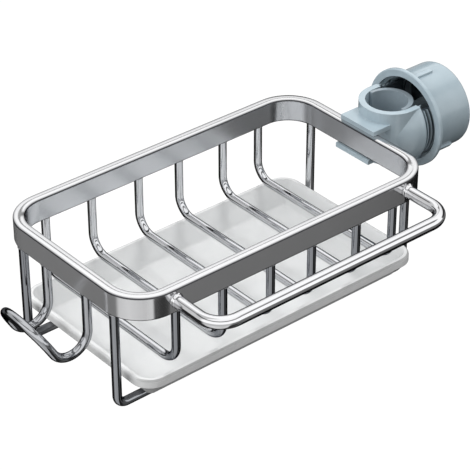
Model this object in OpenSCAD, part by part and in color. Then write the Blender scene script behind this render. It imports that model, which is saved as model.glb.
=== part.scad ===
// Sponge holder that hangs on a faucet: a wire basket under a flat-bar rim, with a towel bar,
// a side hook, a drip tray on two rails, and a screw clamp that grips the faucet's pipe.
// X runs along the basket with the clamp at +X, the towel bar is at -Y, and Z is up.
// The origin is on the pipe's axis, level with the middle of the rim and of the clamp.

/* [Rim] */
// Outer length of the rim
rim_l = 230; // [200:1:260]
// Outer width of the rim
rim_w = 130.6; // [116:0.2:150]
// Height of the rim's flat bar
rim_h = 15.5; // [12:0.5:20]
// Thickness of the rim's flat bar
rim_t = 7; // [6.8:0.1:9]
// Outer radius of the rim's corners
rim_corner = 26; // [20:1:34]
// Rounding of the bar's long edges
rim_edge = 1.2; // [1:0.1:3.2]
// How far the bar's top rises towards its middle
rim_crown = 0.4; // [0.2:0.1:0.6]

/* [Basket wires] */
// Diameter of the cross wires
wire_d = 5.3; // [4:0.1:6]
// Depth of the basket floor, from the rim's underside to the middle of the wires
basket_depth = 37.5; // [30:0.5:45]
// Bend radius at the foot of a cross wire, to the middle of the wire
wire_bend = 12; // [6:0.5:18]
// Distance from the rim's ends to the first and the last cross wire
wire_inset = 32.2; // [28:0.2:45]

/* [Rails] */
// Diameter of the two rails that carry the tray
rail_d = 5.6; // [4:0.1:7]
// Depth of the rails, from the rim's underside to the middle of the wire
rail_depth = 63.8; // [58:0.2:72]
// How far the rails lie inside the rim's long sides
rail_inset = 21.9; // [18:0.1:30]
// Bend radius at the foot of a rail's legs, to the middle of the wire
rail_bend = 6.5; // [4:0.5:10]

/* [Towel bar] */
// Diameter of the towel bar
bar_d = 7.8; // [6:0.2:10]
// Width of the towel bar, between the middles of its arms
bar_w = 176.2; // [120:0.2:180]
// How far the bar's middle stands off the rim's face
bar_reach = 34.5; // [25:0.5:50]
// Bend radius of the bar, to the middle of the rod
bar_bend = 14.5; // [8:0.5:20]
// Offset of the towel bar towards the clamp
bar_shift = 3.7; // [0:0.1:5]

/* [Side hook] */
// Diameter of the hook's rod
hook_d = 5.6; // [4:0.1:7]
// Width of the hook, between the middles of its two legs
hook_w = 38.2; // [28:0.2:50]
// Offset of the hook towards the back
hook_shift = 1.6; // [0:0.1:5]
// Radius of the J bends, to the middle of the rod
hook_bend = 13; // [8:0.2:16]
// Depth of the J bends, from the rim's underside to the middle of the rod
hook_depth = 37.8; // [34:0.2:46]
// Angle at which the hook's end rises from the J bends
hook_lean = 60; // [45:1:75]
// Length of the straight arms between the J bends and the round end
hook_arm = 4.2; // [3:0.2:10]

/* [Drip tray] */
// Gap between the tray and the rails' legs beside the clamp
leg_gap = 2.2; // [0.4:0.1:6]
// How far the tray's long sides lie inside the rim's
tray_inset = 3.55; // [1:0.05:8]
// Gap between the tray and the rails it rests on
rest_gap = 0.25; // [0.1:0.05:0.3]
// How far the tray lies towards the clamp
tray_shift = 1; // [0:0.1:1.6]
// Height of the tray, from its underside to its lip
tray_h = 17; // [12:0.2:17.6]
// Outer corner radius of the tray's lip
tray_corner = 13; // [13:1:26]
// Wall thickness of the tray
tray_skin = 1.7; // [1.4:0.1:2]
// Width of the flat top of the lip
lip_w = 3.2; // [2.8:0.1:4]
// Rounding of the lip's outer edge
lip_round = 2; // [0.6:0.1:2.4]
// Height of the skirt that hangs from the lip
skirt_h = 5.4; // [4:0.2:9]
// How far the floor's edge lies inside the lip
floor_inset = 10.8; // [8:0.2:11.2]
// Radius where the wall meets the floor
foot_round = 2.6; // [1:0.2:3.4]

/* [Clamp body] */
// Distance from the pipe's axis to the rim's face
pipe_gap = 20.8; // [20.6:0.1:24]
// Height of the clamp body along the pipe
body_h = 36.2; // [32:0.2:38]
// Radius of the collar round the pipe
collar_r = 19.9; // [19:0.1:21]
// Offset of the collar's centre from the pipe's axis, towards the nut
collar_shift = 2.6; // [2:0.1:3]
// Radius of the collar's bore
bore_r = 15.8; // [15.6:0.1:16]
// Radius of the shoulder that the nut stops at
shoulder_r = 26.6; // [26.2:0.1:27]
// Distance from the pipe's axis to the shoulder
shoulder_x = 9.2; // [8:0.1:11]
// Radius of the neck beside the rim
neck_r = 10.8; // [10:0.1:10.9]
// Half of the slot's width between the threaded arms
slot_half = 17.6; // [17:0.1:18]
// Height above the axis at which the threaded arms are cut flat
arm_flat = 14.8; // [12:0.1:16]

/* [Clip] */
// Width of the clip's two lips along the rim
clip_w = 29.6; // [20:0.2:40]
// Thickness of the clip's lips
clip_t = 3.1; // [2.4:0.1:4]
// How far the upper lip reaches over the rim
upper_reach = 4.5; // [3:0.1:6]
// How far the lower lip reaches under the rim
lower_reach = 8.2; // [4:0.1:9]
// Gap between the clip and the rim
clip_gap = 0.1; // [0.05:0.05:0.3]

/* [Thread] */
// Pitch of the clamp's thread
pitch = 3; // [2.6:0.1:3.4]
// Radius at the root of the body's thread
root_r = 24; // [23.6:0.1:24.2]
// Height of the thread's ridges
ridge_h = 1.4; // [1:0.1:1.6]
// Radial gap between the two threads
thread_gap = 0.45; // [0.3:0.05:0.6]
// Length of the threaded arms, from the shoulder
arm_l = 22; // [18:0.5:24]

/* [Nut] */
// Distance from the shoulder to the nut's mouth in the drawn pose
nut_gap = 6; // [3:0.5:9]
// Length of the nut
nut_l = 33; // [30:0.5:40]
// Wall thickness of the nut round the thread
nut_wall = 1.6; // [1.4:0.1:2.5]
// Radius of the nut's flange
flange_r = 32.4; // [31:0.1:34]
// Thickness of the flange
flange_t = 2.4; // [2:0.1:4]
// Radius of the nut's mouth
mouth_r = 27.6; // [27.4:0.1:28.5]
// Depth of the flared mouth
mouth_l = 3.9; // [3.5:0.1:6]
// Length of the flare itself, at the inner end of the mouth
flare_l = 1.5; // [0.8:0.1:2]
// Bevel of the flange's front edge
flange_edge = 0.6; // [0.2:0.1:0.9]
// Width of the fillet behind the flange
flange_fillet = 1.2; // [0.4:0.1:1.6]
// Thickness of the nut's end wall
end_t = 2.8; // [2:0.1:4]
// Rounding of the nut's end
end_round = 3; // [1:0.1:3.2]
// Number of grip ribs
rib_count = 3; // [2:1:6]
// Length of a grip rib
rib_l = 15; // [8:0.5:18]
// Width of a grip rib
rib_w = 3.2; // [2:0.1:5]
// Height of a grip rib
rib_h = 1.4; // [0.6:0.1:2]
// Gap between the flange and the ribs
rib_gap = 2; // [1:0.5:6]
// Angle of the first rib, measured from the nut's side
rib_turn = 95; // [0:5:115]

/* [Jaw] */
// Radius of the pipe that the clamp grips
pipe_r = 13; // [12:0.1:13.2]
// Outer radius of the jaw
jaw_r = 15.3; // [15:0.1:15.4]
// Offset of the jaw's outer centre from the pipe's axis, towards the nut
jaw_shift = 1.2; // [0.8:0.1:1.6]
// Distance from the pipe's axis to the ends of the jaw, away from the nut
jaw_reach = 0.8; // [0.2:0.1:1.6]
// Radius of the jaw's stem
stem_r = 7.5; // [6:0.1:9]
// How much wider than the stem its boss on the jaw is
boss_wall = 4; // [2:0.2:5]
// Length of the boss behind the jaw
boss_l = 3; // [1.5:0.1:4]
// Running gap round the stem and at its tip
stem_gap = 0.3; // [0.2:0.05:0.5]
// Depth of the socket that holds the stem's tip
socket_l = 8; // [5:0.5:12]
// Wall of the socket
socket_wall = 2; // [1.5:0.1:3]

/* [Hidden] */
$fn = 64;

steel = [0.76, 0.77, 0.79];
milky = [0.93, 0.94, 0.94];
abs_blue = [0.60, 0.68, 0.72];
abs_dark = [0.50, 0.58, 0.62];

// Where each cross wire stands between the first (0) and the last (1)
wire_share = [0, 0.205, 0.42, 0.61, 0.823, 1];

// The rack, placed from the rim's centre
rim_x = -(pipe_gap + rim_l / 2);
rim_under = -rim_h / 2;
rod_top = rim_under + rim_edge;
crown_r = rim_t * rim_t / (8 * rim_crown) + rim_crown / 2;
leg_x = rim_l / 2 - rim_t / 2;
leg_y = rim_w / 2 - rim_t / 2;
wire_span = rim_l - 2 * wire_inset;
floor_z = rim_under - basket_depth;
rail_z = rim_under - rail_depth;
bar_y = -rim_w / 2 - bar_reach;
hook_foot_z = rim_under - hook_depth;
rail_y = rim_w / 2 - rail_inset;

// The tray, fitted between the rails' legs and placed from the top of the rails
tray_l = 2 * (leg_x - rail_d / 2 - leg_gap - tray_shift);
tray_w = rim_w - 2 * tray_inset;
tray_z = rail_z + rail_d / 2 + rest_gap;
wall_angle = atan2(tray_h - tray_skin, floor_inset - lip_w);
foot_set = foot_round * tan(wall_angle / 2);

// The clamp, placed from the pipe's axis
neck_x = -pipe_gap + clip_gap;
crest_r = root_r + ridge_h;
ridge_foot = 0.5;
ridge_set = 0.4;
root_w = pitch * 0.64;
crest_w = pitch * 0.24;
nut_x = shoulder_x + nut_gap;
nut_end = nut_x + nut_l;
nut_major = crest_r + thread_gap;
nut_minor = root_r + thread_gap;
nut_r = nut_major + nut_wall;
body_thread_x = shoulder_x + root_w / 2 + ridge_set;
body_coils = floor(2 * (arm_l - root_w - 2 * ridge_set) / pitch - 0.2);
nut_thread_x = body_thread_x + pitch * (ceil((nut_gap + mouth_l) / pitch) + 0.5);
nut_turns = floor((nut_end - end_t - 2 * ridge_set - nut_thread_x - root_w / 2) / pitch);
jaw_tip_x = nut_end - end_t - stem_gap;
thread_steps = 36;
fade_steps = 5;
arm_steps = 7;

// How far a cut runs past the piece it cuts, and how far one part of a piece reaches into another
cut = 1;
sink = 1;
wide = 2 * (flange_r + body_h);

// Points along an arc, from angle a0 to a1
function arc(c, r, a0, a1, n) =
    [for (i = [0 : n]) c + r * [cos(a0 + (a1 - a0) * i / n), sin(a0 + (a1 - a0) * i / n)]];

function unit(v) = v / norm(v);

// Direction of the leg that leaves corner i of a path
function leg(path, i) = unit(path[i + 1] - path[i]);

// Length that the bend at corner i takes off each leg beside it
function setback(path, bends, i) = i == 0 || i == len(path) - 1 ? 0 : bends[i - 1];

// Rotation that turns X to u and Y to w, which are unit vectors at right angles
function turn_to(u, w) =
    abs(u[2]) > 0.999
        ? [0, -90 * sign(u[2]), atan2(-w[0], w[1])]
        : [atan2(w[2], cross(u, w)[2]), -asin(u[2]), atan2(u[1], u[0])];

// A rod of diameter d along a path with square corners, with bend radius bends[i - 1] at corner i
module bent_rod(path, bends, d) {
    for (i = [0 : len(path) - 2]) {
        u = leg(path, i);
        from = setback(path, bends, i);
        to = setback(path, bends, i + 1);
        translate(path[i] + u * from)
            rotate([0, acos(u[2]), atan2(u[1], u[0])])
                cylinder(h = norm(path[i + 1] - path[i]) - from - to, d = d);
    }
    for (i = [1 : len(path) - 2]) {
        u = leg(path, i - 1);
        v = leg(path, i);
        r = bends[i - 1];
        translate(path[i] + (v - u) * r)
            rotate(turn_to(-v, u))
                rotate_extrude(angle = 90)
                    translate([r, 0])
                        circle(d = d);
    }
}

// Sweeps a section round a rounded rectangle: the section's X is measured out from the outline
module ring(l, w, corner) {
    for (k = [0 : 3]) {
        half = k % 2 == 0 ? l / 2 : w / 2;
        side = k % 2 == 0 ? w - 2 * corner : l - 2 * corner;
        rotate([0, 0, 90 * k]) {
            translate([half, 0, 0])
                rotate([90, 0, 0])
                    linear_extrude(height = side, center = true)
                        children();
            translate([half - corner, side / 2, 0])
                rotate_extrude(angle = 90)
                    translate([corner, 0])
                        children();
        }
    }
}

// Section of the rim's flat bar with its crowned top, and with its outer face at X = 0
module bar_section() {
    intersection() {
        union() {
            translate([-rim_t + rim_edge, -rim_h / 2])
                square([rim_t - 2 * rim_edge, rim_h]);
            translate([-rim_t, -rim_h / 2 + rim_edge])
                square([rim_t, rim_h - 2 * rim_edge]);
            for (x = [-rim_t + rim_edge, -rim_edge], y = [-1, 1])
                translate([x, y * (rim_h / 2 - rim_edge)])
                    circle(r = rim_edge);
        }
        translate([-rim_t / 2, rim_h / 2 - crown_r])
            circle(r = crown_r);
    }
}

// The rim's bar, bent round the basket
module rim_bar() {
    ring(rim_l, rim_w, rim_corner)
        bar_section();
}

module rim() {
    color(steel)
        translate([rim_x, 0, 0])
            rim_bar();
}

// Rods that are welded under the rim, with their ends cut to its rounded underside
module coped() {
    color(steel)
        translate([rim_x, 0, 0])
            difference() {
                children();
                rim_bar();
            }
}

// One U-shaped wire across the basket
module cross_wire(i) {
    x = -wire_span / 2 + wire_span * wire_share[i];
    coped()
        bent_rod([[x, -leg_y, rod_top], [x, -leg_y, floor_z], [x, leg_y, floor_z],
            [x, leg_y, rod_top]], [wire_bend, wire_bend], wire_d);
}

// One rail along the rack, with a leg up to each short side of the rim
module support_rail(y) {
    coped()
        bent_rod([[-leg_x, y, rod_top], [-leg_x, y, rail_z], [leg_x, y, rail_z],
            [leg_x, y, rod_top]], [rail_bend, rail_bend], rail_d);
}

module towel_bar() {
    color(steel)
        translate([rim_x + bar_shift, 0, 0])
            bent_rod([[-bar_w / 2, -rim_w / 2, 0], [-bar_w / 2, bar_y, 0], [bar_w / 2, bar_y, 0],
                [bar_w / 2, -rim_w / 2, 0]], [bar_bend, bar_bend], bar_d);
}

// One rod: a hairpin with a round end, bent into a J under the rim's short side
module side_hook() {
    coped()
        translate([-leg_x - hook_bend, hook_shift, hook_foot_z + hook_bend]) {
            for (y = [-hook_w / 2, hook_w / 2]) {
                translate([hook_bend, y, 0])
                    cylinder(h = hook_depth - hook_bend + rim_edge, d = hook_d);
                translate([0, y, 0])
                    rotate([90, 90 + hook_lean, 0])
                        rotate_extrude(angle = 90 + hook_lean)
                            translate([hook_bend, 0])
                                circle(d = hook_d);
            }
            rotate([0, hook_lean - 90, 0])
                translate([-hook_bend, 0, 0]) {
                    for (y = [-hook_w / 2, hook_w / 2])
                        translate([0, y, 0])
                            cylinder(h = hook_arm, d = hook_d);
                    translate([0, 0, hook_arm])
                        rotate([90, 0, 90])
                            rotate_extrude(angle = 180)
                                translate([hook_w / 2, 0])
                                    circle(d = hook_d);
                }
        }
}

// Section of the tray's edge: floor, sloped wall, flat lip and hanging skirt, with its underside at Y = 0
module tray_section() {
    bend = [-floor_inset - foot_set, tray_skin + foot_round];
    roof = tray_h - max(tray_skin, tan(wall_angle) * (tray_skin + tray_skin / sin(wall_angle) - lip_w));
    polygon(concat(
        [[-tray_corner, 0], [-tray_corner, tray_skin]],
        arc(bend, foot_round, -90, -90 + wall_angle, 5),
        [[-lip_w, tray_h]],
        arc([-lip_round, tray_h - lip_round], lip_round, 90, 0, 4),
        [[0, tray_h - skirt_h], [-tray_skin, tray_h - skirt_h], [-tray_skin, roof]],
        arc(bend, foot_round + tray_skin, -90 + wall_angle, -90, 5)
    ));
}

module drip_tray() {
    color(milky)
        translate([rim_x + tray_shift, 0, tray_z]) {
            ring(tray_l, tray_w, tray_corner)
                tray_section();
            translate([0, 0, tray_skin / 2])
                cube([tray_l - 2 * tray_corner, tray_w - 2 * tray_corner, tray_skin], center = true);
        }
}

// Half outline of the clamp body: an S-curve from the neck out to the shoulder
module body_outline() {
    steps = 16;
    rise = shoulder_r - neck_r;
    polygon(concat(
        [[0, neck_x]],
        [for (i = [0 : steps])
            [neck_r + rise * pow(sin(90 * i / steps), 2), neck_x + (shoulder_x - neck_x) * i / steps]],
        [[0, shoulder_x]]
    ));
}

// A closed solid from rings of four points, each ring the same way round
module ridge(rings) {
    n = len(rings) - 1;
    polyhedron(
        points = [for (corners = rings) each corners],
        faces = concat(
            [[3, 2, 1, 0]],
            [for (i = [0 : n - 1], k = [0 : 3])
                let (m = (k + 1) % 4) [4 * i + k, 4 * i + m, 4 * i + 4 + m, 4 * i + 4 + k]],
            [[4 * n, 4 * n + 1, 4 * n + 2, 4 * n + 3]]
        ));
}

// A point of the helix about X: a is the angle from Y, x0 the helix's place at angle 0
function helix(x0, a, r) = [x0 + pitch * a / 360, r * cos(a), r * sin(a)];

// Half a coil of the body's thread, on the arm at +Y (even k) or -Y (odd k), ending at the arm's flats
module body_ridge(k) {
    foot = root_r - ridge_foot;
    ridge([for (i = [-arm_steps : arm_steps])
        let (foot_a = 180 * k + asin(arm_flat / foot) * i / arm_steps,
            tip_a = 180 * k + asin(arm_flat / crest_r) * i / arm_steps)
        [helix(body_thread_x - root_w / 2, foot_a, foot), helix(body_thread_x - crest_w / 2, tip_a, crest_r),
            helix(body_thread_x + crest_w / 2, tip_a, crest_r), helix(body_thread_x + root_w / 2, foot_a, foot)]]);
}

// The nut's inner ridge, half a pitch off the body's, fading in and out at its ends
module nut_ridge() {
    n = nut_turns * thread_steps;
    foot = nut_major + ridge_foot;
    ridge([for (i = [0 : n])
        let (a = 360 * i / thread_steps,
            fade = min(1, (i + 1) / fade_steps, (n - i + 1) / fade_steps),
            tip = foot - (foot - nut_minor) * fade)
        [helix(nut_thread_x + root_w / 2, a, foot), helix(nut_thread_x + crest_w / 2, a, tip),
            helix(nut_thread_x - crest_w / 2, a, tip), helix(nut_thread_x - root_w / 2, a, foot)]]);
}

// The two lips that grip the rim's short side
module clip_lips() {
    top = rim_h / 2 + clip_gap;
    inner = collar_shift - collar_r / 2;
    translate([-pipe_gap - upper_reach, -clip_w / 2, top])
        cube([inner + pipe_gap + upper_reach, clip_w, clip_t]);
    translate([-pipe_gap - lower_reach, -clip_w / 2, -top - clip_t])
        cube([inner + pipe_gap + lower_reach, clip_w, clip_t]);
}

// The way out of the collar for the jaw, and the wider room between the threaded arms
module arm_slot() {
    open_l = arm_l + cut;
    translate([(collar_shift + shoulder_x) / 2, 0, 0])
        cube([shoulder_x - collar_shift + cut, 2 * bore_r, body_h + 2 * cut], center = true);
    translate([shoulder_x + open_l / 2, 0, 0])
        cube([open_l, 2 * slot_half, body_h + 2 * cut], center = true);
}

module clamp_body() {
    color(abs_blue) {
        difference() {
            union() {
                intersection() {
                    rotate([0, 90, 0])
                        rotate([0, 0, 90])
                            rotate_extrude()
                                body_outline();
                    cube([wide, wide, body_h], center = true);
                }
                translate([collar_shift, 0, 0])
                    cylinder(h = body_h, r = collar_r, center = true);
                translate([collar_shift, -collar_r, -body_h / 2])
                    cube([shoulder_x - collar_shift, 2 * collar_r, body_h]);
                clip_lips();
                intersection() {
                    translate([shoulder_x - sink, 0, 0])
                        rotate([0, 90, 0])
                            cylinder(h = arm_l + sink, r = root_r);
                    cube([wide, wide, 2 * arm_flat], center = true);
                }
            }
            translate([collar_shift, 0, 0])
                cylinder(h = body_h + 2 * cut, r = bore_r, center = true);
            arm_slot();
        }
        for (k = [0 : body_coils])
            body_ridge(k);
    }
}

// The half-round jaw that presses the pipe into the collar, with the stem that the nut pushes
module clamp_jaw() {
    back_x = jaw_shift + jaw_r;
    color(abs_dark) {
        difference() {
            translate([jaw_shift, 0, 0])
                cylinder(h = body_h, r = jaw_r, center = true);
            cylinder(h = body_h + 2 * cut, r = pipe_r, center = true);
            translate([-jaw_reach - wide / 2, 0, 0])
                cube([wide, wide, wide], center = true);
        }
        difference() {
            translate([pipe_r - boss_l, 0, 0])
                rotate([0, 90, 0])
                    cylinder(h = back_x - pipe_r + 2 * boss_l, r = stem_r + boss_wall);
            cylinder(h = body_h + 2 * cut, r = pipe_r, center = true);
        }
        translate([back_x, 0, 0])
            rotate([0, 90, 0])
                cylinder(h = jaw_tip_x - back_x, r = stem_r);
    }
}

// Half outline of the nut: flared mouth with a flange, threaded bore, closed end with a socket
module nut_outline() {
    socket_r = stem_r + stem_gap;
    polygon(concat(
        [[mouth_r, 0], [flange_r - flange_edge, 0], [flange_r, flange_edge], [flange_r, flange_t],
            [nut_r + flange_fillet, flange_t + flange_fillet], [nut_r, flange_t + 3 * flange_fillet]],
        arc([nut_r - end_round, nut_l - end_round], end_round, 0, 90, 6),
        [[0, nut_l], [0, nut_l - end_t], [socket_r, nut_l - end_t],
            [socket_r, nut_l - end_t - socket_l], [socket_r + socket_wall, nut_l - end_t - socket_l],
            [socket_r + socket_wall, nut_l - end_t], [nut_major, nut_l - end_t], [nut_major, mouth_l],
            [mouth_r, mouth_l - flare_l]]
    ));
}

module grip_ribs() {
    for (k = [0 : rib_count - 1])
        rotate([rib_turn + 360 * k / rib_count, 0, 0])
            translate([nut_x + flange_t + rib_gap, nut_r - sink, -rib_w / 2])
                cube([rib_l, rib_h + sink, rib_w]);
}

module clamp_nut() {
    color(abs_blue) {
        translate([nut_x, 0, 0])
            rotate([0, 90, 0])
                rotate([0, 0, 90])
                    rotate_extrude()
                        nut_outline();
        grip_ribs();
        nut_ridge();
    }
}

rim();
cross_wire(0);  // cross_wire_1
cross_wire(1);  // cross_wire_2
cross_wire(2);  // cross_wire_3
cross_wire(3);  // cross_wire_4
cross_wire(4);  // cross_wire_5
cross_wire(5);  // cross_wire_6
support_rail(-rail_y);  // support_rail_front
support_rail(rail_y);  // support_rail_back
towel_bar();
side_hook();
drip_tray();
clamp_body();
clamp_jaw();
clamp_nut();
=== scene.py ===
import bpy
import math
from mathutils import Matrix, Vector


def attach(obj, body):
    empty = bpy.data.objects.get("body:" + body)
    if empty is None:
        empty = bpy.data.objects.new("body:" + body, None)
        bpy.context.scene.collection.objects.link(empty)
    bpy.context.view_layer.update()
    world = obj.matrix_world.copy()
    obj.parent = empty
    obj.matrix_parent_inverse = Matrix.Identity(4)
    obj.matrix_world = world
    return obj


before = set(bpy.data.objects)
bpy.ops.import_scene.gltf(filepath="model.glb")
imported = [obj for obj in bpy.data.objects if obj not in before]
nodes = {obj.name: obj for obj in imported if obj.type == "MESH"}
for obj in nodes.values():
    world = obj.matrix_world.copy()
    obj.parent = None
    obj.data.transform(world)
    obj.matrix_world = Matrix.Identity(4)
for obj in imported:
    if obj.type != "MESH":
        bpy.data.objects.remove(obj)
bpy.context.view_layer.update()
print("stage: frame loaded,", len(nodes), "nodes")


def newMaterial(name):
    material = bpy.data.materials.new(name)
    material.use_nodes = True
    tree = material.node_tree
    shader = next(n for n in tree.nodes if n.type == "BSDF_PRINCIPLED")
    return material, tree, shader


def addNode(tree, kind, values=None, **settings):
    node = tree.nodes.new(kind)
    for key, value in settings.items():
        setattr(node, key, value)
    for key, value in (values or {}).items():
        node.inputs[key].default_value = value
    return node


def link(tree, source, target):
    tree.links.new(source, target)


def fillInputs(tree, node, values):
    # each value is a number or a triple for the socket itself, or another node's output
    for index, value in enumerate(values):
        if isinstance(value, (int, float, tuple)):
            node.inputs[index].default_value = value
        else:
            link(tree, value, node.inputs[index])


def mathNode(tree, operation, *values, clamp=False):
    node = addNode(tree, "ShaderNodeMath", operation=operation, use_clamp=clamp)
    fillInputs(tree, node, values)
    return node.outputs[0]


def vectorNode(tree, operation, *values):
    node = addNode(tree, "ShaderNodeVectorMath", operation=operation)
    fillInputs(tree, node, values)
    return node.outputs["Value" if operation == "DOT_PRODUCT" else "Vector"]


def splitNode(tree, vector):
    node = addNode(tree, "ShaderNodeSeparateXYZ")
    link(tree, vector, node.inputs[0])
    return node.outputs


def rangeNode(tree, value, start, end, low=0.0, high=1.0):
    # goes from low to high while the value goes from start to end
    node = addNode(tree, "ShaderNodeMapRange", {"From Min": start, "From Max": end, "To Min": low, "To Max": high})
    link(tree, value, node.inputs["Value"])
    return node.outputs["Result"]


def rampNode(tree, value, stops):
    node = addNode(tree, "ShaderNodeValToRGB")
    elements = node.color_ramp.elements
    elements.remove(elements[-1])
    for index, (place, light) in enumerate(stops):
        element = elements.new(place) if index else elements[0]
        element.position = place
        element.color = (light, light, light, 1)
    link(tree, value, node.inputs["Fac"])
    return node.outputs["Color"]


def mixColours(tree, share, a, b, blend="MIX"):
    node = addNode(tree, "ShaderNodeMix", data_type="RGBA", blend_type=blend)
    for socket, value in (("Factor", share), ("A", a), ("B", b)):
        target = next(s for s in node.inputs if s.name == socket and s.enabled)
        if isinstance(value, (int, float)):
            target.default_value = value
        elif isinstance(value, tuple):
            target.default_value = (*value, 1)
        else:
            link(tree, value, target)
    return next(s for s in node.outputs if s.name == "Result" and s.enabled)


def newGroup(name, inputs, output):
    group = bpy.data.node_groups.new(name, "ShaderNodeTree")
    group.interface.new_socket(name="Vector", in_out="INPUT", socket_type="NodeSocketVector")
    for inputName, default in inputs.items():
        socket = group.interface.new_socket(name=inputName, in_out="INPUT", socket_type="NodeSocketFloat")
        socket.default_value = default
    group.interface.new_socket(name=output, in_out="OUTPUT", socket_type="NodeSocketFloat")
    return group, addNode(group, "NodeGroupInput").outputs, addNode(group, "NodeGroupOutput").inputs


def groupNode(tree, group, place, values):
    node = addNode(tree, "ShaderNodeGroup")
    node.node_tree = group
    for name, value in values.items():
        node.inputs[name].default_value = value
    link(tree, place, node.inputs["Vector"])
    return node.outputs[0]


def noiseInGroup(group, vector, scale, values):
    node = addNode(group, "ShaderNodeTexNoise", values)
    link(group, vector, node.inputs["Vector"])
    link(group, scale, node.inputs["Scale"])
    return node.outputs["Fac"]


def makeGrainGroup():
    # fine drawn lines along one axis, as polishing and rolling leave them
    group, given, result = newGroup("drawnGrain", {"Scale": 900.0, "Stretch": 0.03}, "Grain")
    split = splitNode(group, given["Vector"])
    join = addNode(group, "ShaderNodeCombineXYZ")
    for axis in ("X", "Y"):
        link(group, mathNode(group, "MULTIPLY", split[axis], given["Stretch"]), join.inputs[axis])
    link(group, split["Z"], join.inputs["Z"])
    lines = noiseInGroup(group, join.outputs[0], given["Scale"], {"Detail": 3.0, "Roughness": 0.6})
    link(group, lines, result["Grain"])
    return group


def makeSmudgeGroup():
    # soft uneven patches: handling marks and water film
    group, given, result = newGroup("softSmudge", {"Scale": 30.0, "Low": 0.1, "High": 0.3}, "Value")
    patches = noiseInGroup(group, given["Vector"], given["Scale"], {"Detail": 4.0, "Roughness": 0.55})
    spread = addNode(group, "ShaderNodeMapRange", {"From Min": 0.3, "From Max": 0.7})
    link(group, patches, spread.inputs["Value"])
    link(group, given["Low"], spread.inputs["To Min"])
    link(group, given["High"], spread.inputs["To Max"])
    link(group, spread.outputs["Result"], result["Value"])
    return group


def makeWearGroup():
    # 1 on edges that hands and cloths rub, broken up by noise
    group, given, result = newGroup("edgeWear", {"Reach": 0.02, "Breakup": 180.0}, "Mask")
    pointiness = addNode(group, "ShaderNodeNewGeometry").outputs["Pointiness"]
    edge = mathNode(group, "SUBTRACT", pointiness, 0.5)
    edge = mathNode(group, "DIVIDE", edge, given["Reach"], clamp=True)
    breakup = noiseInGroup(group, given["Vector"], given["Breakup"], {"Detail": 3.0})
    link(group, mathNode(group, "MULTIPLY", edge, breakup, clamp=True), result["Mask"])
    return group


grainGroup = makeGrainGroup()
smudgeGroup = makeSmudgeGroup()
wearGroup = makeWearGroup()
print("stage: node groups")

basketMiddle = (-0.1358, 0.0, 0.0)  # the rim's and the tray's middle, in metres


def facesOut(tree, place, normal):
    # 1 where the surface faces away from the basket's middle, seen from above
    outward = vectorNode(tree, "SUBTRACT", place, basketMiddle)
    level = vectorNode(tree, "MULTIPLY", outward, (1, 1, 0))
    return mathNode(tree, "GREATER_THAN", vectorNode(tree, "DOT_PRODUCT", level, normal), 0.0)


steelLooks = {
    "rimSteel": {"colour": (0.78, 0.78, 0.79), "dull": (0.73, 0.74, 0.75), "roughness": (0.05, 0.08),
                 "grainScale": 1500.0, "metal": 0.97, "paintedLegShade": None, "flatBar": True},
    "barSteel": {"colour": (0.76, 0.76, 0.77), "dull": (0.70, 0.71, 0.73), "roughness": (0.03, 0.06),
                 "grainScale": 1500.0, "metal": 1.0, "paintedLegShade": None, "flatBar": False},
    "wireSteel": {"colour": (0.70, 0.71, 0.73), "dull": (0.62, 0.63, 0.65), "roughness": (0.03, 0.07),
                  "grainScale": 1200.0, "metal": 1.0, "paintedLegShade": (0.29, 0.30, 0.32), "flatBar": False},
    # the front rail's steel: the same steel painted much darker, as painted shade
    "legSteelShaded": {"colour": (0.34, 0.35, 0.37), "dull": (0.29, 0.30, 0.32), "roughness": (0.11, 0.18),
                 "grainScale": 1100.0, "metal": 1.0, "paintedLegShade": None, "flatBar": False},
    # the hook's steel: the same steel painted darker than the wires, as painted shade
    "hookSteelShaded": {"colour": (0.46, 0.47, 0.49), "dull": (0.40, 0.41, 0.43), "roughness": (0.08, 0.14),
                  "grainScale": 1100.0, "metal": 1.0, "paintedLegShade": None, "flatBar": False},
    "weldSteel": {"colour": (0.56, 0.57, 0.58), "dull": (0.36, 0.36, 0.38), "roughness": (0.16, 0.34),
                  "grainScale": 700.0, "metal": 0.95, "paintedLegShade": None, "flatBar": False},
}
steelSurface = {  # the same for every steel
    "filmScale": 26.0, "toneScale": 60.0, "toneShare": 0.6,
    "wearReach": 0.06, "wearBreakup": 260.0, "wearGain": 1.05,
    "grainStretch": 0.04, "grainSwing": 0.08, "bump": 0.03, "bumpDepth": 0.0002,
    "tint": (0.08, 0.08, 0.09, 1),  # steel mirrors less just before its outline
}
legShadeReach = {  # where the painted shade on the legs starts and is full: towards the front in Y, towards the hook in X
    "front": (-0.050, -0.058), "hookEnd": (-0.225, -0.240),
}
flatBarLook = {  # what only the rim's bar has; a steepness is how far the surface faces up or down, 0 to 1
    # the inner colour is painted shade on the faces turned into the basket
    "innerShadeColour": (0.66, 0.675, 0.70), "innerRoughness": 0.10, "innerSteepness": 0.3,
    "sideRoughness": 0.05, "sideSteepness": (0.6, 0.3),
    # painted shade: a dark line painted along the rolled edge, where steel mirrors dark surroundings; it starts from
    # the upright side and from the crown
    "edgeShadeColour": (0.03, 0.03, 0.035), "edgeShadeShare": 0.96, "edgeBySide": (0.10, 0.26), "edgeByTop": (0.9935, 0.9870),
    # how metallic the face turned towards the hook is, and where it starts and is full as it turns towards the hook:
    # less metal lets the lamps light it paler, as painted light
    "lightenedSideMetal": 0.69, "lightenedSideFacing": (-0.2, -0.6),
}


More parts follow.
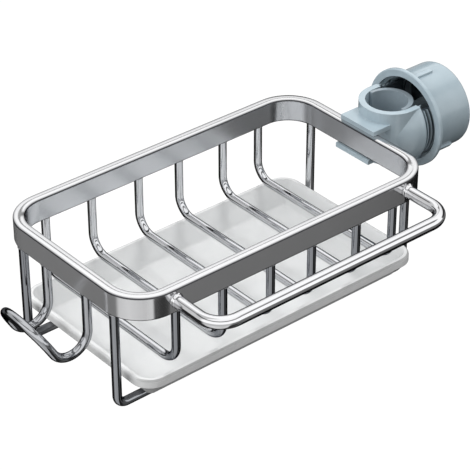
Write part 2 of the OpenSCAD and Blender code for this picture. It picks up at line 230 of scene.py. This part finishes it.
def dressFlatBar(tree, shader, metal, place, colour, roughness):
    # the upright faces are brushed, the top is polished, and the rounded edges are painted dark as painted shade
    normal = addNode(tree, "ShaderNodeTexCoord").outputs["Normal"]
    facing = splitNode(tree, normal)
    steep = mathNode(tree, "ABSOLUTE", facing["Z"])
    edge = mathNode(tree, "MULTIPLY", rangeNode(tree, steep, *flatBarLook["edgeBySide"]),
                    rangeNode(tree, steep, *flatBarLook["edgeByTop"]))
    edge = mathNode(tree, "MULTIPLY", edge, flatBarLook["edgeShadeShare"])
    # the inner faces are painted darker as painted shade, and made rougher
    inner = mathNode(tree, "SUBTRACT", 1.0, facesOut(tree, place, normal))
    inner = mathNode(tree, "MULTIPLY", inner, mathNode(tree, "LESS_THAN", steep, flatBarLook["innerSteepness"]))
    colour = mixColours(tree, inner, colour, flatBarLook["innerShadeColour"])
    # painted shade: the dark line on the rounded edges
    colour = mixColours(tree, edge, colour, flatBarLook["edgeShadeColour"])
    upright = rangeNode(tree, steep, *flatBarLook["sideSteepness"])
    brushed = mathNode(tree, "MULTIPLY", upright, flatBarLook["sideRoughness"])
    filmed = mathNode(tree, "MULTIPLY", inner, flatBarLook["innerRoughness"])
    roughness = mathNode(tree, "ADD", roughness, mathNode(tree, "ADD", brushed, filmed))
    # the face turned towards the hook's end is made less metallic so it shows paler, as painted light on that side
    paintedSideLight = rangeNode(tree, facing["X"], *flatBarLook["lightenedSideFacing"], metal, flatBarLook["lightenedSideMetal"])
    link(tree, paintedSideLight, shader.inputs["Metallic"])
    return colour, roughness


def makeSteel(name):
    look = steelLooks[name]
    surface = steelSurface
    material, tree, shader = newMaterial(name)
    place = addNode(tree, "ShaderNodeTexCoord").outputs["Object"]
    roughness = groupNode(tree, smudgeGroup, place, {
        "Scale": surface["filmScale"], "Low": look["roughness"][0], "High": look["roughness"][1]})
    tone = groupNode(tree, smudgeGroup, place, {
        "Scale": surface["toneScale"], "Low": 0.0, "High": surface["toneShare"]})
    wear = groupNode(tree, wearGroup, place, {
        "Reach": surface["wearReach"], "Breakup": surface["wearBreakup"]})
    grain = groupNode(tree, grainGroup, place, {
        "Scale": look["grainScale"], "Stretch": surface["grainStretch"]})
    colour = mixColours(tree, tone, look["colour"], look["dull"])
    bright = tuple(min(1.0, part * surface["wearGain"]) for part in look["colour"])
    colour = mixColours(tree, wear, colour, bright)
    if look["paintedLegShade"]:
        # painted shade: the legs at the front and at the hook's end are painted darker than the rest
        split = splitNode(tree, place)
        paintedLegShade = mathNode(tree, "MAXIMUM", rangeNode(tree, split["Y"], *legShadeReach["front"]),
                            rangeNode(tree, split["X"], *legShadeReach["hookEnd"]))
        colour = mixColours(tree, paintedLegShade, colour, look["paintedLegShade"])
    if look["flatBar"]:
        colour, roughness = dressFlatBar(tree, shader, look["metal"], place, colour, roughness)
    else:
        shader.inputs["Metallic"].default_value = look["metal"]
    swing = mathNode(tree, "MULTIPLY", mathNode(tree, "SUBTRACT", grain, 0.5), surface["grainSwing"])
    bump = addNode(tree, "ShaderNodeBump", {"Strength": surface["bump"], "Distance": surface["bumpDepth"]})
    link(tree, grain, bump.inputs["Height"])
    link(tree, colour, shader.inputs["Base Color"])
    link(tree, mathNode(tree, "ADD", roughness, swing), shader.inputs["Roughness"])
    link(tree, bump.outputs["Normal"], shader.inputs["Normal"])
    shader.inputs["Specular Tint"].default_value = surface["tint"]
    return material


plasticLooks = {
    "trayPlastic": {"colour": (0.89, 0.90, 0.90), "shade": (0.86, 0.87, 0.87), "roughness": (0.08, 0.14),
                    "coat": 0.1, "speck": 300.0, "bump": 0.02, "edge": 0.0006, "paintedThreadShade": None, "skirtShaded": True},
    "clampPlastic": {"colour": (0.455, 0.552, 0.608), "shade": (0.405, 0.502, 0.558), "roughness": (0.16, 0.26),
                     "coat": 0.3, "speck": 700.0, "bump": 0.03, "edge": 0.0004, "paintedThreadShade": (0.020, 0.028, 0.040),
                     "skirtShaded": False},
    "jawPlastic": {"colour": (0.30, 0.36, 0.40), "shade": (0.26, 0.31, 0.35), "roughness": (0.18, 0.3),
                   "coat": 0.2, "speck": 700.0, "bump": 0.03, "edge": 0.0004, "paintedThreadShade": None, "skirtShaded": False},
}
plasticSurface = {  # the same for every plastic
    "filmScale": 34.0, "toneScale": 90.0, "wearReach": 0.05, "wearBreakup": 220.0, "wearGain": 1.12,
    "speckDetail": 2.0, "bumpDepth": 0.0003, "coatRoughness": 0.12, "edgeSamples": 4,
}
threadShadePlace = {  # radii of the thread's grooves and crests about the nut's axis, and where in X the painted shade starts
    "inner": 0.0241, "outer": 0.0256, "start": 0.0094, "share": 0.9,
}
skirtShadeLook = {  # painted shade on the skirt: how grey by how far the skirt's round faces up, and from where it turns to the front
    "share": 0.52, "byRise": ((0.0, 0.0), (0.25, 0.35), (0.6, 1.0), (0.93, 1.0), (0.985, 0.0)),
    "byFront": (0.1, -0.4),
}


def makePlastic(name):
    look = plasticLooks[name]
    surface = plasticSurface
    material, tree, shader = newMaterial(name)
    place = addNode(tree, "ShaderNodeTexCoord").outputs["Object"]
    roughness = groupNode(tree, smudgeGroup, place, {
        "Scale": surface["filmScale"], "Low": look["roughness"][0], "High": look["roughness"][1]})
    tone = groupNode(tree, smudgeGroup, place, {"Scale": surface["toneScale"], "Low": 0.0, "High": 1.0})
    wear = groupNode(tree, wearGroup, place, {
        "Reach": surface["wearReach"], "Breakup": surface["wearBreakup"]})
    colour = mixColours(tree, tone, look["colour"], look["shade"])
    pale = tuple(min(1.0, part * surface["wearGain"]) for part in look["colour"])
    colour = mixColours(tree, wear, colour, pale)
    if look["paintedThreadShade"]:
        # painted shade: the thread and the inside of the nut are painted darker, where shade falls
        split = splitNode(tree, place)
        square = mathNode(tree, "ADD", mathNode(tree, "POWER", split["Y"], 2.0),
                          mathNode(tree, "POWER", split["Z"], 2.0))
        band = rangeNode(tree, mathNode(tree, "SQRT", square), threadShadePlace["inner"], threadShadePlace["outer"], 1.0, 0.0)
        ahead = mathNode(tree, "GREATER_THAN", split["X"], threadShadePlace["start"])
        paintedThreadShade = mathNode(tree, "MULTIPLY", band, ahead, clamp=True)
        colour = mixColours(tree, mathNode(tree, "MULTIPLY", paintedThreadShade, threadShadePlace["share"]), colour, look["paintedThreadShade"])
    if look["skirtShaded"]:
        # painted shade: the moulded edge's outer round is painted greyer as it turns down and away from the light
        normal = addNode(tree, "ShaderNodeTexCoord").outputs["Normal"]
        facing = splitNode(tree, normal)
        outer = mathNode(tree, "MULTIPLY", rampNode(tree, facing["Z"], skirtShadeLook["byRise"]),
                         facesOut(tree, place, normal))
        outer = mathNode(tree, "MULTIPLY", outer, rangeNode(tree, facing["Y"], *skirtShadeLook["byFront"]))
        grey = tuple(part * skirtShadeLook["share"] for part in look["colour"])
        colour = mixColours(tree, outer, colour, grey)
    speck = addNode(tree, "ShaderNodeTexNoise", {"Scale": look["speck"], "Detail": surface["speckDetail"]})
    link(tree, place, speck.inputs["Vector"])
    soft = addNode(tree, "ShaderNodeBevel", {"Radius": look["edge"]}, samples=surface["edgeSamples"])
    bump = addNode(tree, "ShaderNodeBump", {"Strength": look["bump"], "Distance": surface["bumpDepth"]})
    link(tree, speck.outputs["Fac"], bump.inputs["Height"])
    link(tree, soft.outputs["Normal"], bump.inputs["Normal"])
    link(tree, colour, shader.inputs["Base Color"])
    link(tree, roughness, shader.inputs["Roughness"])
    link(tree, bump.outputs["Normal"], shader.inputs["Normal"])
    shader.inputs["Coat Weight"].default_value = look["coat"]
    shader.inputs["Coat Roughness"].default_value = surface["coatRoughness"]
    return material


materials = {name: makeSteel(name) for name in steelLooks}
materials.update({name: makePlastic(name) for name in plasticLooks})

nodeFinishes = {  # the cross wires and the back rail take wireSteel
    "rim": "rimSteel", "towel_bar": "barSteel", "side_hook": "hookSteelShaded", "support_rail_front": "legSteelShaded",
    "drip_tray": "trayPlastic", "clamp_body": "clampPlastic", "clamp_nut": "clampPlastic",
    "clamp_jaw": "jawPlastic",
}
for nodeName, node in nodes.items():
    finish = materials[nodeFinishes.get(nodeName, "wireSteel")]
    if not node.material_slots:
        node.data.materials.append(finish)
    for materialSlot in node.material_slots:
        materialSlot.material = finish
print("stage: materials on the CAD nodes")


def pickOnly(piece):
    bpy.ops.object.select_all(action="DESELECT")
    piece.select_set(True)
    bpy.context.view_layer.objects.active = piece


def joinPieces(pieces, name, finish, body):
    pickOnly(pieces[0])
    for piece in pieces[1:]:
        piece.select_set(True)
    bpy.ops.object.join()
    joined = bpy.context.active_object
    joined.name = name
    joined.data.name = name
    joined.data.materials.clear()
    joined.data.materials.append(materials[finish])
    pickOnly(joined)
    bpy.ops.object.shade_smooth()
    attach(joined, body)
    return joined


def makeLumpy(piece, strength, size):
    # uneven surface of a hand-made weld
    texture = bpy.data.textures.new(piece.name + "Lumps", "CLOUDS")
    texture.noise_scale = size
    modifier = piece.modifiers.new("lumps", "DISPLACE")
    modifier.texture = texture
    modifier.texture_coords = "LOCAL"
    modifier.strength = strength
    pickOnly(piece)
    bpy.ops.object.modifier_apply(modifier=modifier.name)


rodWelds = {
    "rimX": -0.1358, "rimUnder": -0.00775, "legX": 0.1115, "legY": 0.0618,
    "wireSpan": 0.1656, "wireShares": (0, 0.205, 0.42, 0.61, 0.823, 1),
    "wireRadius": 0.00265, "railRadius": 0.0028, "railY": 0.0434, "hookY": (-0.0175, 0.0207),
    "bead": 0.00042, "segments": (32, 8),  # the bead's own radius, and its segments along and around
    "offset": 0.0001,  # how far its middle stands off the rod and under the rim
    "rise": 0.0001, "bands": (0.25, 0.5, 0.75, 0.92),  # the whole lift, and where each part of it starts
    "lumps": (0.00012, 0.0012),  # height and size
}


def addRodWeld(x, y, radius, alongX):
    # a thin bead round the rod's end, which climbs with the rim's rounded underside
    along, around = rodWelds["segments"]
    bpy.ops.object.select_all(action="DESELECT")
    bpy.ops.mesh.primitive_torus_add(major_segments=along, minor_segments=around,
                                     major_radius=radius + rodWelds["offset"], minor_radius=rodWelds["bead"],
                                     location=(x, y, rodWelds["rimUnder"] - rodWelds["offset"]))
    weld = bpy.context.active_object
    bpy.ops.object.transform_apply(location=True, rotation=True, scale=True)
    for share in rodWelds["bands"]:
        # each band of the bead further across the rim is lifted a little more
        bpy.ops.object.mode_set(mode="EDIT")
        bpy.ops.mesh.select_all(action="DESELECT")
        bpy.ops.object.mode_set(mode="OBJECT")
        for vertex in weld.data.vertices:
            across = abs(vertex.co.y - y) if alongX else abs(vertex.co.x - x)
            vertex.select = across > share * radius
        bpy.ops.object.mode_set(mode="EDIT")
        bpy.ops.transform.translate(value=(0, 0, rodWelds["rise"] / len(rodWelds["bands"])))
        bpy.ops.object.mode_set(mode="OBJECT")
    return weld


welds = []
for share in rodWelds["wireShares"]:
    wireX = rodWelds["rimX"] + rodWelds["wireSpan"] * (share - 0.5)
    for side in (-1, 1):
        welds.append(addRodWeld(wireX, side * rodWelds["legY"], rodWelds["wireRadius"], True))
for end in (-1, 1):
    for side in (-1, 1):
        welds.append(addRodWeld(rodWelds["rimX"] + end * rodWelds["legX"], side * rodWelds["railY"],
                                rodWelds["railRadius"], False))
for y in rodWelds["hookY"]:
    welds.append(addRodWeld(rodWelds["rimX"] - rodWelds["legX"], y, rodWelds["railRadius"], False))
rodBeads = joinPieces(welds, "rodWelds", "weldSteel", "rack")
makeLumpy(rodBeads, *rodWelds["lumps"])
print("stage: welds of the rods")

armWelds = {
    "face": -0.0653, "x": (-0.2202, -0.0440), "radius": 0.0039, "segments": 40,
    # how far out from the rim's face, how much wider than the rod, and how far the ring is lifted
    "steps": ((-0.0008, 0.0007, 0.0004), (-0.0002, 0.0007, 0.0004), (0.0001, 0.0005, 0.0003),
              (0.0004, 0.00032, 0.0002), (0.0009, 0.00022, 0.0001), (0.0016, 0.00014, 0.0000),
              (0.0020, -0.0002, 0.0000)),
    "lumps": (0.00008, 0.0035),  # height and size
}


def addArmWeld(x):
    # a fillet that flares from the arm out to the rim's face, a little higher above the arm than below
    last = armWelds["steps"][0]
    bpy.ops.object.select_all(action="DESELECT")
    bpy.ops.mesh.primitive_circle_add(vertices=armWelds["segments"], radius=armWelds["radius"] + last[1],
                                      fill_type="NGON", location=(x, armWelds["face"] - last[0], last[2]),
                                      rotation=(math.radians(90), 0, 0))
    weld = bpy.context.active_object
    bpy.ops.object.transform_apply(location=True, rotation=True, scale=True)
    bpy.ops.object.mode_set(mode="EDIT")
    bpy.ops.mesh.select_all(action="SELECT")
    for step in armWelds["steps"][1:]:
        bpy.ops.mesh.extrude_region_move(TRANSFORM_OT_translate={"value": (0, last[0] - step[0], step[2] - last[2])})
        grow = (armWelds["radius"] + step[1]) / (armWelds["radius"] + last[1])
        bpy.ops.transform.resize(value=(grow, 1, grow), center_override=(x, armWelds["face"] - step[0], step[2]))
        last = step
    bpy.ops.mesh.select_all(action="SELECT")
    bpy.ops.mesh.normals_make_consistent(inside=False)
    bpy.ops.object.mode_set(mode="OBJECT")
    return weld


armBeads = joinPieces([addArmWeld(x) for x in armWelds["x"]], "armWelds", "barSteel", "rack")
makeLumpy(armBeads, *armWelds["lumps"])
print("stage: welds of the arms")

floorLook = {
    "size": 6.0, "middle": (-0.1, 0.0), "drop": 0.45,  # how far it lies under the origin
    "colour": (0.93, 0.93, 0.93), "shade": (0.91, 0.91, 0.91), "toneScale": 3.0, "toneShare": 0.3,
    "roughness": 0.9, "glow": 1.06, "glowShare": 0.85,
}


def addFloor():
    look = floorLook
    bpy.ops.object.select_all(action="DESELECT")
    bpy.ops.mesh.primitive_plane_add(size=look["size"], location=(*look["middle"], -look["drop"]))
    floor = bpy.context.active_object
    floor.name = "studioFloor"
    material, tree, shader = newMaterial("floorPaint")
    place = addNode(tree, "ShaderNodeTexCoord").outputs["Object"]
    tone = groupNode(tree, smudgeGroup, place, {"Scale": look["toneScale"], "Low": 0.0, "High": look["toneShare"]})
    link(tree, mixColours(tree, tone, look["colour"], look["shade"]), shader.inputs["Base Color"])
    shader.inputs["Roughness"].default_value = look["roughness"]
    # seen by the camera, the far floor is the white of the backdrop and only the shadow darkens it
    path = addNode(tree, "ShaderNodeLightPath")
    glow = addNode(tree, "ShaderNodeEmission", {"Strength": look["glow"]})
    blend = addNode(tree, "ShaderNodeMixShader")
    fillInputs(tree, blend, (mathNode(tree, "MULTIPLY", path.outputs["Is Camera Ray"], look["glowShare"]),
                             shader.outputs[0], glow.outputs[0]))
    output = next(n for n in tree.nodes if n.type == "OUTPUT_MATERIAL")
    link(tree, blend.outputs[0], output.inputs["Surface"])
    floor.data.materials.append(material)
    floor.visible_glossy = False
    floor.visible_diffuse = False


surroundings = {
    "towardsCamera": (-0.635, -0.773),  # as X and Y
    "backdrop": (1.0, 1.0, 1.0),  # what the camera sees
    # light by the turn in degrees, 0 towards the camera and more to its right: what polished steel mirrors
    # from low down, the grey walls all round above that, and what the screen on the left lets through
    "ground": ((-180, 0.002), (-140, 0.01), (-66, 0.04), (-56, 0.72), (-30, 0.86), (10, 0.70), (29, 0.82),
               (34, 0.03), (68, 0.04), (74, 0.185), (84, 0.185), (88, 0.002), (180, 0.002)),
    "walls": ((-180, 0.30), (-130, 0.30), (-118, 0.02), (-66, 0.02), (-54, 0.62), (28, 0.60), (40, 0.20),
              (104, 0.20), (140, 0.30), (180, 0.30)),
    "screen": ((-180, 1.0), (-146, 1.0), (-132, 0.56), (-72, 0.56), (-60, 1.0), (180, 1.0)),
    # light by the height, 0 at the horizon and 1 overhead: the sky behind the object, the sky on the
    # camera's side with the dark strip that the towel bar mirrors, and the share that the short bar leaves
    "sky": ((0.0, 0.10), (0.06, 0.01), (0.27, 0.01), (0.31, 0.9), (0.36, 1.25), (0.520, 1.30), (1.0, 1.30)),
    "frontSky": ((0.0, 1.25), (0.20, 1.3), (0.61, 1.25), (0.63, 0.25), (0.77, 0.22), (0.79, 1.15), (1.0, 1.25)),
    "bar": ((0.0, 1.0), (0.520, 1.0), (0.528, 0.23), (0.560, 0.23), (0.568, 1.0), (1.0, 1.0)),
    # by the height too, but 0 straight below and 1 straight above: the even light on dull surfaces, and
    # which part of the surroundings counts as above the horizon
    "soft": ((0.0, 0.04), (0.35, 0.15), (0.5, 0.32), (0.7, 0.66), (1.0, 1.02)),
    "horizon": ((0.0, 0.0), (0.49, 0.0), (0.51, 1.0), (1.0, 1.0)),
    # where the ground gives way to the walls, by the height, and where the sky behind gives way to the one
    # in front and the bar ends, by the cosine of the turn
    "wallFoot": (-0.44, -0.38), "frontStart": (-0.45, -0.38), "barEnd": (-0.9925, -0.9850),
}


def addWorld():
    light = surroundings
    world = bpy.data.worlds.new("studioWorld")
    bpy.context.scene.world = world
    world.use_nodes = True
    tree = world.node_tree
    background = next(n for n in tree.nodes if n.type == "BACKGROUND")
    direction = addNode(tree, "ShaderNodeTexCoord").outputs["Generated"]
    height = splitNode(tree, direction)["Z"]
    wholeHeight = mathNode(tree, "ADD", mathNode(tree, "MULTIPLY", height, 0.5), 0.5)
    flat = vectorNode(tree, "NORMALIZE", vectorNode(tree, "MULTIPLY", direction, (1, 1, 0)))
    towardsX, towardsY = light["towardsCamera"]
    ahead = vectorNode(tree, "DOT_PRODUCT", flat, (towardsX, towardsY, 0.0))
    beside = vectorNode(tree, "DOT_PRODUCT", flat, (-towardsY, towardsX, 0.0))
    # turn round the object: 0.5 towards the camera, more to its right, less to its left
    turn = mathNode(tree, "DIVIDE", mathNode(tree, "ARCTAN2", beside, ahead), 2 * math.pi)
    turn = mathNode(tree, "ADD", turn, 0.5)

    def byTurn(name):
        return rampNode(tree, turn, [(degrees / 360.0 + 0.5, value) for degrees, value in light[name]])

    # a short dark bar straight behind the object shows as a line along the middle of the rim's crown
    bar = mixColours(tree, rangeNode(tree, ahead, *light["barEnd"]), rampNode(tree, height, light["bar"]),
                     (1.0, 1.0, 1.0))
    above = mixColours(tree, 1.0, rampNode(tree, height, light["sky"]), bar, "MULTIPLY")
    above = mixColours(tree, rangeNode(tree, ahead, *light["frontStart"]), above,
                       rampNode(tree, height, light["frontSky"]))
    above = mixColours(tree, 1.0, above, byTurn("screen"), "MULTIPLY")
    below = mixColours(tree, rangeNode(tree, height, *light["wallFoot"]), byTurn("ground"), byTurn("walls"))
    shiny = mixColours(tree, rampNode(tree, wholeHeight, light["horizon"]), below, above)
    path = addNode(tree, "ShaderNodeLightPath").outputs
    mixed = mixColours(tree, path["Is Glossy Ray"], rampNode(tree, wholeHeight, light["soft"]), shiny)
    seen = mixColours(tree, path["Is Camera Ray"], mixed, light["backdrop"])
    link(tree, seen, background.inputs["Color"])
    background.inputs["Strength"].default_value = 1.0


lamps = {  # places and size in metres, power in watts
    "keyLamp": {"place": (0.45, -0.12, 1.45), "aim": (-0.1, 0.0, 0.0), "size": 0.8, "power": 5.5},
    "fillLamp": {"place": (-1.3, 0.25, 0.75), "aim": (-0.1, 0.0, 0.0), "size": 1.0, "power": 7.0},
}


def addLamps():
    for name, look in lamps.items():
        data = bpy.data.lights.new(name, "AREA")
        data.shape = "DISK"
        data.size = look["size"]
        data.energy = look["power"]
        lamp = bpy.data.objects.new(name, data)
        lamp.location = look["place"]
        lamp.rotation_euler = (Vector(look["aim"]) - lamp.location).to_track_quat("-Z", "Y").to_euler()
        lamp.visible_glossy = False  # the steel mirrors the painted surroundings alone
        bpy.context.scene.collection.objects.link(lamp)


photoCamera = {
    "place": (-0.785657, -0.791557, 0.643809), "turn": (56.852718, 0.096974, -39.959569),  # metres, degrees
    "lens": 156.6, "sensor": 36.0, "near": 0.05, "far": 20.0,
}


def addCamera():
    data = bpy.data.cameras.new("photoCamera")
    data.lens = photoCamera["lens"]
    data.sensor_width = photoCamera["sensor"]
    data.clip_start = photoCamera["near"]
    data.clip_end = photoCamera["far"]
    camera = bpy.data.objects.new("photoCamera", data)
    camera.location = photoCamera["place"]
    camera.rotation_euler = tuple(math.radians(angle) for angle in photoCamera["turn"])
    bpy.context.scene.collection.objects.link(camera)
    bpy.context.scene.camera = camera


addFloor()
addWorld()
addLamps()
addCamera()
bpy.context.scene.view_settings.view_transform = "Standard"
print("stage: floor, light and camera")
